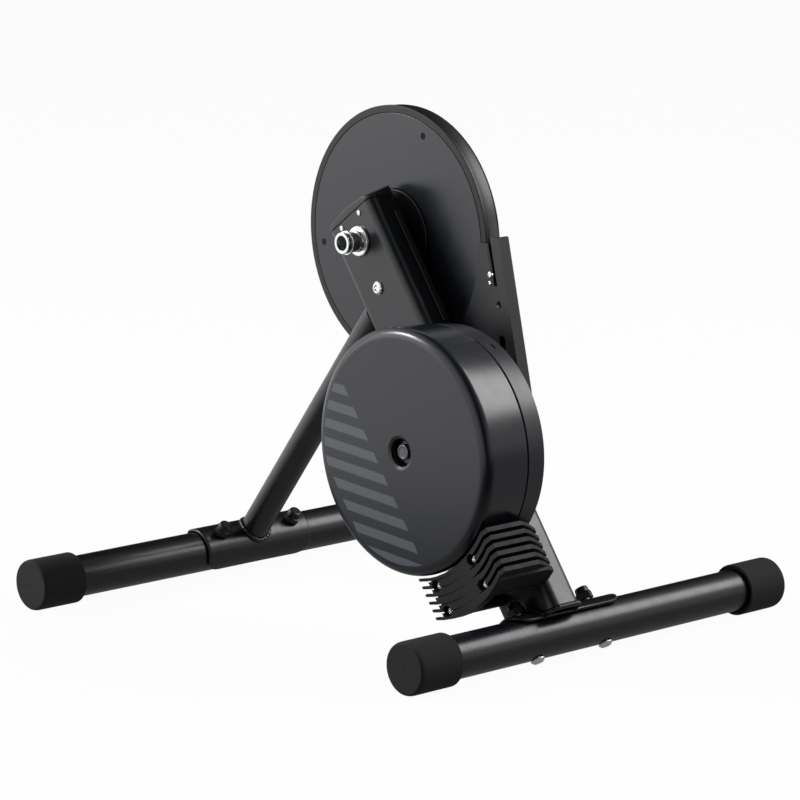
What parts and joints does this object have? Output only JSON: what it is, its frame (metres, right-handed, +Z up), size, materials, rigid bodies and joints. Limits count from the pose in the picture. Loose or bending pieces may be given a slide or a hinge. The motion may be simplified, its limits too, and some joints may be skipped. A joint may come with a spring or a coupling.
{
  "type": "direct drive bike trainer",
  "caption": "Direct drive bicycle trainer: cross legs, a slanted box beam with a strut, a hollow axle, a belt-driven flywheel with a brake, a belt guard and a finned heat sink.",
  "frame": {"origin": "on the floor, half way between the two legs and half way along the front leg", "axes": "+X to the bicycle's drive side, parallel to the axle; +Y to the bicycle's front; +Z up. X = 0 is the bicycle's middle plane."},
  "size_m": [0.566, 0.4649, 0.4595],
  "materials": {
    "frame_paint": "satin powder coat",
    "cap_rubber": "matt",
    "fastener_steel": "zinc plated",
    "black_steel": "black oxide",
    "black_plastic": "fine grain",
    "machined_steel": "machined",
    "bright_metal": "polished",
    "anodised_black": "black anodised",
    "flywheel_coat": "satin, with a plain stripe pattern on the flywheel's face",
    "belt_rubber": "satin",
    "stator_metal": "lacquered copper windings",
    "circuit_board": "lacquered"
  },
  "bodies": {
    "frame": {"rear_leg_tube": "frame_paint", "front_leg_tube": "frame_paint", "rear_saddle": "frame_paint", "front_saddle": "frame_paint", "main_beam": "frame_paint", "front_strut": "frame_paint", "rear_leg_cap_left": "cap_rubber", "rear_leg_cap_right": "cap_rubber", "front_leg_cap_left": "cap_rubber", "front_leg_cap_right": "cap_rubber", "rear_bolt_1": "fastener_steel", "rear_bolt_2": "fastener_steel", "front_bolt_1": "fastener_steel", "front_bolt_2": "fastener_steel", "plug_screw_1": "fastener_steel", "plug_screw_2": "fastener_steel", "arm_button_screw": "fastener_steel", "rear_dome_nut_1": "black_steel", "rear_dome_nut_2": "black_steel", "front_dome_nut_1": "black_steel", "front_dome_nut_2": "black_steel", "axle_sleeve": "black_steel", "left_spacer": "black_steel", "flywheel_sleeve": "black_steel", "guard_bracket": "black_steel", "beam_top_plug": "black_plastic", "beam_rear_strip": "black_plastic", "rear_housing": "black_plastic", "belt_guard": "black_plastic", "belt_back_cover": "black_plastic", "axle_tube": "machined_steel", "hub_bearing_inner": "machined_steel", "hub_bearing_outer": "machined_steel", "freehub_bearing_cartridge": "machined_steel", "flywheel_bearing_front": "machined_steel", "flywheel_bearing_rear": "machined_steel", "left_end_cap": "bright_metal", "axle_flange_ring": "bright_metal", "drive_side_end_cap": "bright_metal", "guard_screw_upper": "bright_metal", "guard_screw_lower": "bright_metal", "heat_sink_screw_1": "bright_metal", "heat_sink_screw_2": "bright_metal", "heat_sink_screw_3": "bright_metal", "heat_sink_screw_4": "bright_metal", "heat_sink": "anodised_black", "drive_belt": "belt_rubber", "brake_stator": "stator_metal", "control_board": "circuit_board"},
    "flywheel": {"flywheel_cup": "flywheel_coat", "flywheel_shaft": "machined_steel", "flywheel_hex_screw": "black_steel", "small_pulley": "machined_steel", "shaft_nut": "fastener_steel"},
    "pulley": {"large_pulley": "anodised_black", "pulley_cover_plate": "flywheel_coat", "cover_screw_1": "black_steel", "cover_screw_2": "black_steel", "cover_screw_3": "black_steel"},
    "freehub": {"freehub_body": "machined_steel"}
  },
  "joints": [
    {"name": "flywheel_spin", "type": "hinge", "parent": "frame", "child": "flywheel", "pos_m": [0, -0.10235, 0.1785], "axis": [1, 0, 0], "continuous": true},
    {"name": "pulley_spin", "type": "hinge", "parent": "frame", "child": "pulley", "pos_m": [0, 0.0304, 0.3404], "axis": [1, 0, 0], "continuous": true},
    {"name": "freehub_spin", "type": "hinge", "parent": "frame", "child": "freehub", "pos_m": [0, 0.0304, 0.3404], "axis": [1, 0, 0], "continuous": true}
  ],
  "couplings": [
    {"joint": "pulley_spin", "follows": "flywheel_spin", "ratio": 0.24786}
  ]
}
